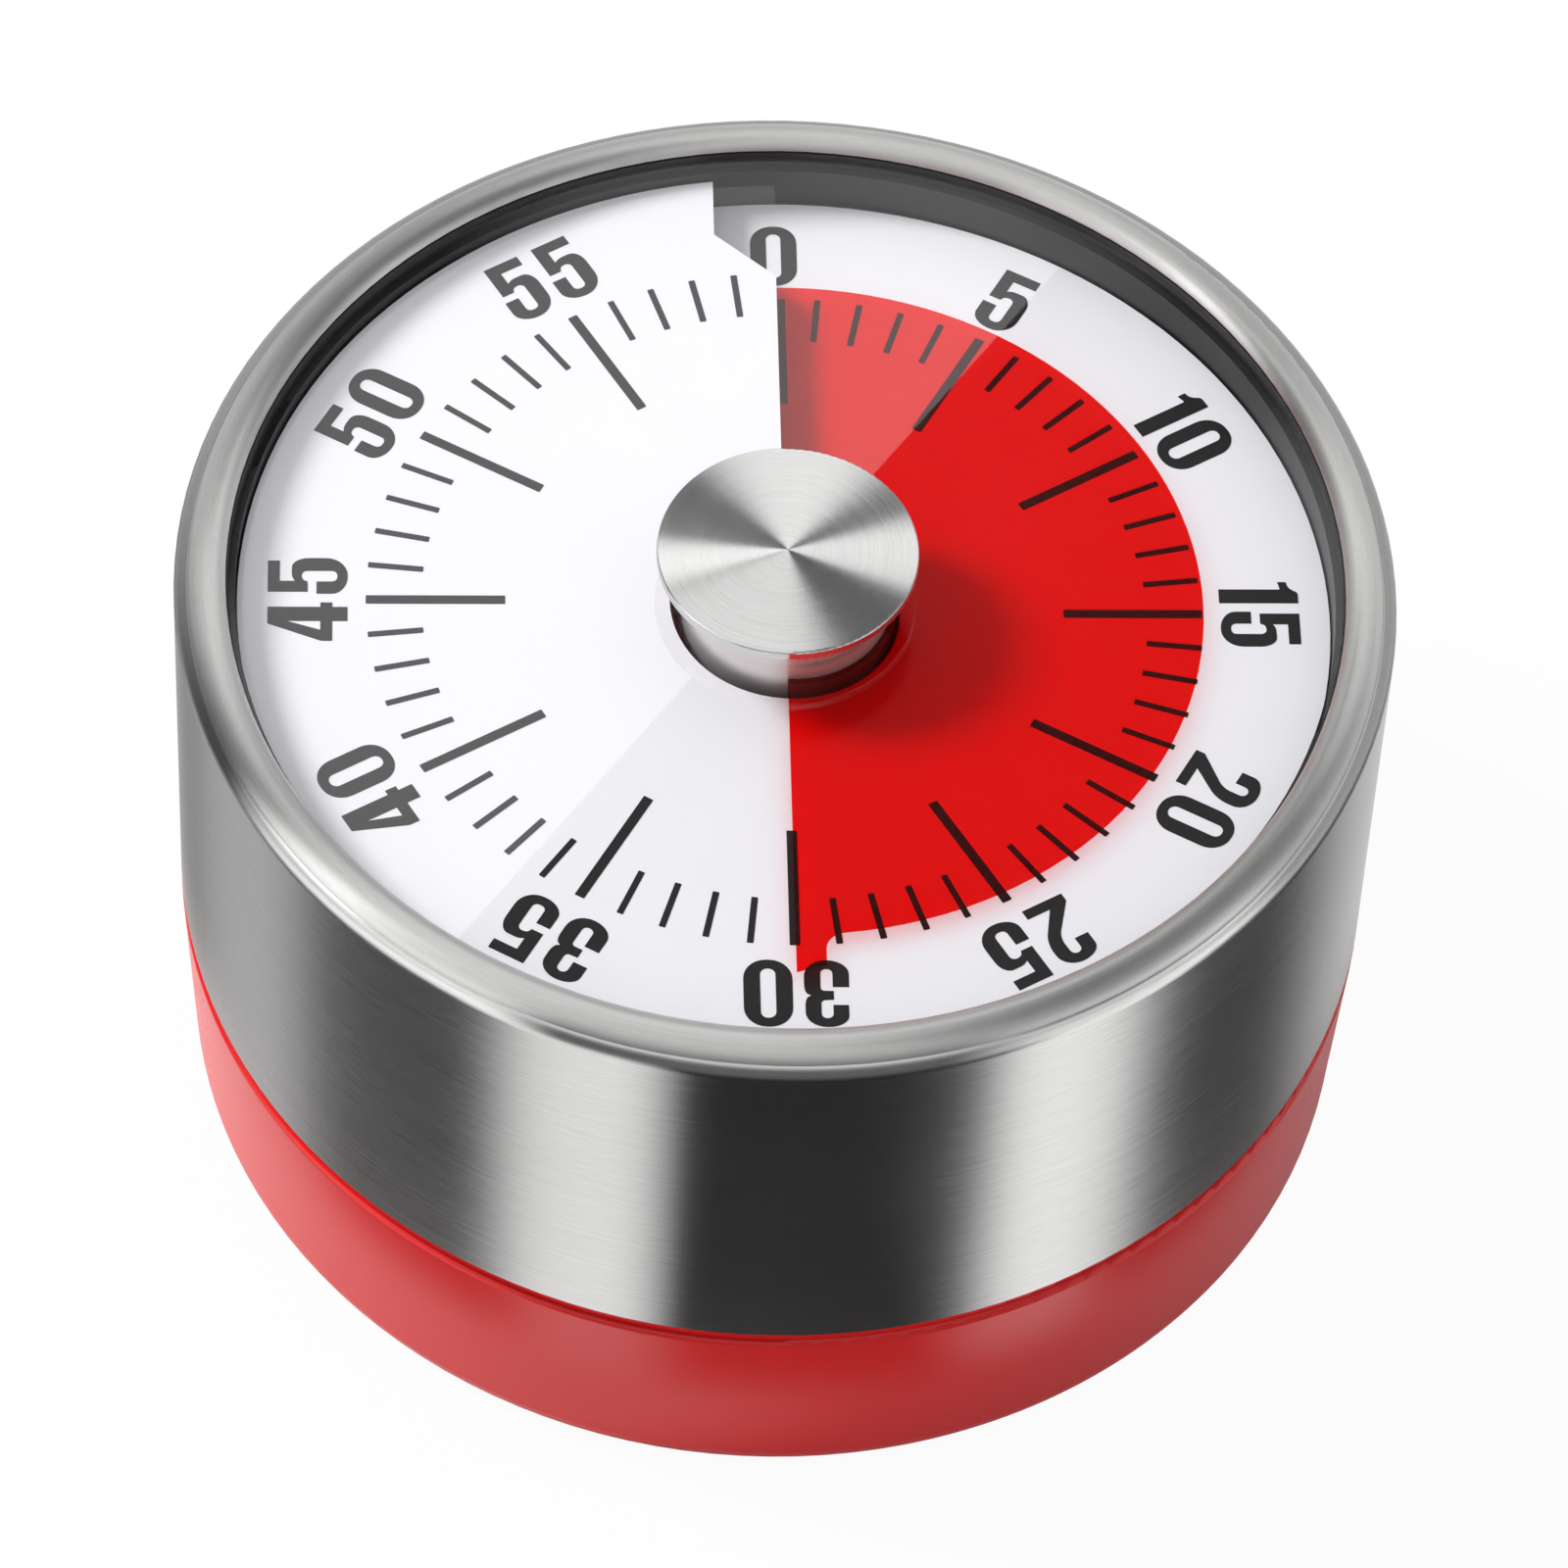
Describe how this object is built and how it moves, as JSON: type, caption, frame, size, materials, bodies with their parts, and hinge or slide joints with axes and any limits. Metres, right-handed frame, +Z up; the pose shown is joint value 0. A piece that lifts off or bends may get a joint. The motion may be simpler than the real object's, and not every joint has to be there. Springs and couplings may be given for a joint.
{
  "type": "visual countdown timer",
  "caption": "Round wind-up timer: steel band over a red base, recessed split dial with a red film that sweeps the minutes, central knob, bell movement inside.",
  "frame": {"origin": "centre of the flat underside", "axes": "+Z up through the knob, +Y towards the zero minute mark, +X towards the fifteen minute mark"},
  "size_m": [0.078, 0.078, 0.0479],
  "materials": {
    "band_steel": "fine brushing round the band, rolled bright edge",
    "knob_steel": "spun finish with fine circles",
    "stem_steel": "polished tube",
    "base_red": "glossy moulded red",
    "case_black": "fine moulded matt black",
    "dial_white": "satin white sheet with printed black numbers",
    "film_red": "translucent red film",
    "lens_clear": "clear polished acrylic",
    "hub_black": "moulded black",
    "plate_brass": "stamped, lightly grained",
    "wheel_brass": "cut teeth, satin faces",
    "arbor_steel": "turned and burnished",
    "spring_steel": "blued strip",
    "wheel_nylon": "natural moulded nylon",
    "bell_steel": "plated and polished dome",
    "lever_steel": "stamped, deburred",
    "screw_steel": "zinc plated",
    "magnet_black": "sintered dark grey"
  },
  "bodies": {
    "case": {"steel_shell": "band_steel", "base_shell": "base_red", "base_screws": "screw_steel", "magnet_ring": "magnet_black", "magnet_keeper": "lever_steel", "dial_carrier": "case_black", "bezel_ring": "case_black", "lens": "lens_clear", "dial": "dial_white", "front_plate": "plate_brass", "back_plate": "plate_brass", "pillars": "arbor_steel", "pillar_screws": "screw_steel", "movement_screws": "screw_steel", "mainspring": "spring_steel", "spring_post": "arbor_steel", "bell": "bell_steel", "bell_post": "arbor_steel", "bell_screw": "screw_steel", "hammer_spring": "spring_steel", "trip_stud": "arbor_steel", "trip_spring": "spring_steel"},
    "knob": {"knob_cap": "knob_steel", "knob_stem": "stem_steel", "knob_core": "hub_black", "main_arbor": "arbor_steel", "film_hub": "hub_black", "red_film": "film_red", "great_wheel": "wheel_brass", "clutch_washer": "lever_steel", "zero_cam": "lever_steel"},
    "second_arbor": {"second_pinion": "arbor_steel", "second_wheel": "wheel_brass", "strike_star": "lever_steel"},
    "third_arbor": {"third_pinion": "arbor_steel", "third_wheel": "wheel_nylon"},
    "escape_arbor": {"escape_pinion": "arbor_steel", "escape_wheel": "wheel_nylon"},
    "balance": {"balance_staff": "arbor_steel", "balance_wheel": "wheel_brass", "pallet_arm": "lever_steel", "pallet_pins": "arbor_steel"},
    "hammer": {"hammer_arbor": "arbor_steel", "hammer_arm": "lever_steel", "hammer_head": "lever_steel", "hammer_tail": "lever_steel", "hammer_catch": "lever_steel"},
    "trip": {"trip_lever": "lever_steel"}
  },
  "joints": [
    {"name": "knob_turn", "type": "hinge", "parent": "case", "child": "knob", "pos_m": [0, 0, 0.0435], "axis": [0, 0, -1], "range_deg": [-180, 150]},
    {"name": "second_turn", "type": "hinge", "parent": "case", "child": "second_arbor", "pos_m": [0.01691, 0.00616, 0.024], "axis": [0, 0, -1], "range_deg": [-750, 900]},
    {"name": "third_turn", "type": "hinge", "parent": "case", "child": "third_arbor", "pos_m": [0.01203, 0.01712, 0.024], "axis": [0, 0, -1], "range_deg": [-3600, 3000]},
    {"name": "escape_turn", "type": "hinge", "parent": "case", "child": "escape_arbor", "pos_m": [0.00206, 0.01782, 0.024], "axis": [0, 0, -1], "range_deg": [-12000, 14400]},
    {"name": "balance_rock", "type": "hinge", "parent": "case", "child": "balance", "pos_m": [-0.00636, 0.019, 0.024], "axis": [0, 0, 1], "range_deg": [-8, 8]},
    {"name": "hammer_swing", "type": "hinge", "parent": "case", "child": "hammer", "pos_m": [0.02175, -0.01014, 0.0215], "axis": [0, 0, 1], "range_deg": [-3.2, 12]},
    {"name": "trip_rock", "type": "hinge", "parent": "case", "child": "trip", "pos_m": [0.00823, -0.01247, 0.0294], "axis": [0, 0, 1], "range_deg": [0, 5]}
  ],
  "couplings": [
    {"joint": "second_turn", "follows": "knob_turn", "ratio": -5},
    {"joint": "third_turn", "follows": "knob_turn", "ratio": 20},
    {"joint": "escape_turn", "follows": "knob_turn", "ratio": -80}
  ]
}
